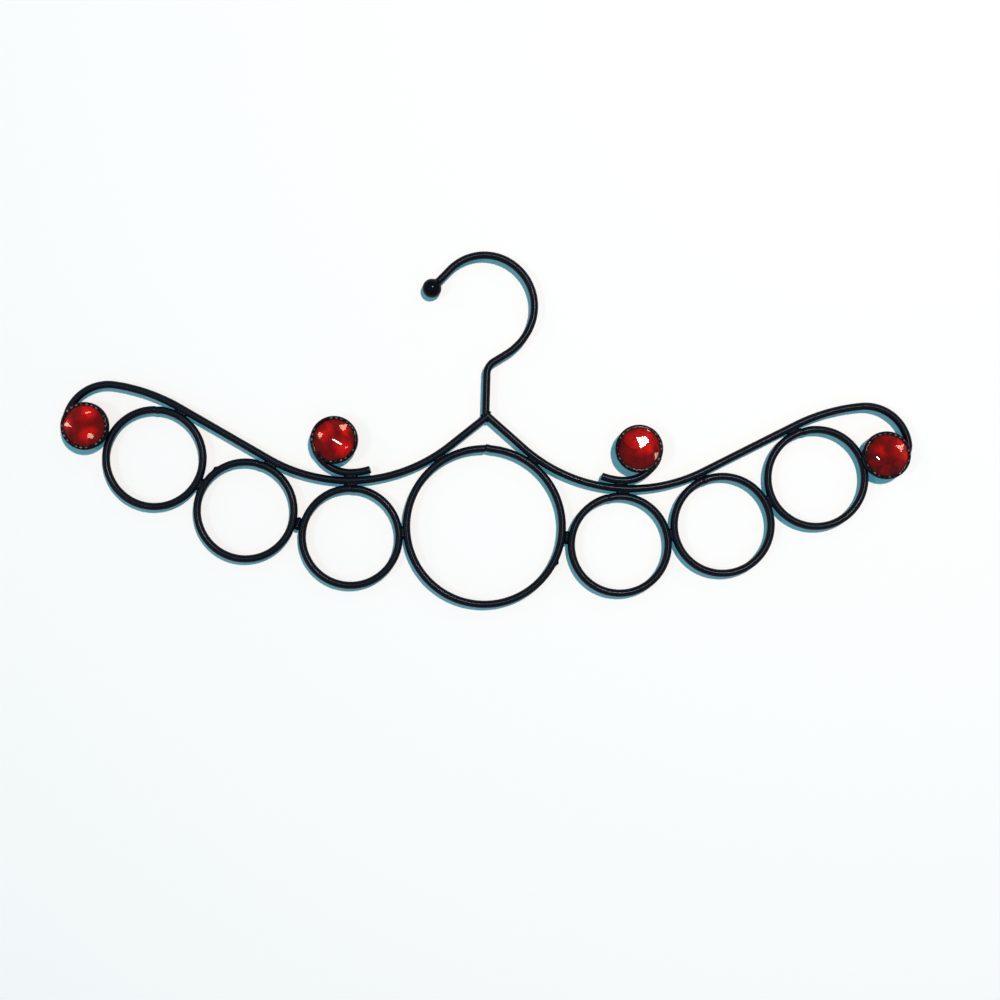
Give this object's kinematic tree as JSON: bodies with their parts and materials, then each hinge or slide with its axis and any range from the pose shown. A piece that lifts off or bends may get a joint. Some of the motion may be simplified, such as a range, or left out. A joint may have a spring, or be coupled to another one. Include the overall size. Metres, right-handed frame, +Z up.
{
  "type": "scarf hanger",
  "caption": "Flat scarf hanger of welded painted wire: ball-tipped hook, scrolled arms, a row of scarf rings and crimped cups holding faceted red stones.",
  "frame": {"origin": "inside top of the hook, where it rests on a rail, in the wires' middle plane", "axes": "+X to the right seen from the front, along the hanger's length; -Y towards the front, which the stones face; +Z up"},
  "size_m": [0.4003, 0.012, 0.1679],
  "materials": {
    "black_paint": "gloss black enamel over bent steel wire",
    "cup_paint": "gloss black enamel over pressed and crimped sheet steel",
    "weld_paint": "gloss black enamel over a small weld bead",
    "red_stone": "polished facets, deep red",
    "clear_glue": "set clear glue, slightly yellow"
  },
  "bodies": {
    "root": {"hook_wire": "black_paint", "hook_ball": "black_paint", "left_arm": "black_paint", "right_arm": "black_paint", "centre_ring": "black_paint", "left_inner_ring": "black_paint", "left_middle_ring": "black_paint", "left_outer_ring": "black_paint", "right_inner_ring": "black_paint", "right_middle_ring": "black_paint", "right_outer_ring": "black_paint", "left_inner_scroll": "black_paint", "right_inner_scroll": "black_paint", "left_inner_cup": "cup_paint", "left_outer_cup": "cup_paint", "right_inner_cup": "cup_paint", "right_outer_cup": "cup_paint", "left_inner_stone": "red_stone", "left_outer_stone": "red_stone", "right_inner_stone": "red_stone", "right_outer_stone": "red_stone", "left_inner_glue": "clear_glue", "left_outer_glue": "clear_glue", "right_inner_glue": "clear_glue", "right_outer_glue": "clear_glue", "peak_weld": "weld_paint", "left_arm_welds": "weld_paint", "right_arm_welds": "weld_paint", "left_row_welds": "weld_paint", "right_row_welds": "weld_paint", "left_scroll_weld": "weld_paint", "right_scroll_weld": "weld_paint", "left_cup_welds": "weld_paint", "right_cup_welds": "weld_paint", "ring_seams": "weld_paint"}
  },
  "joints": []
}
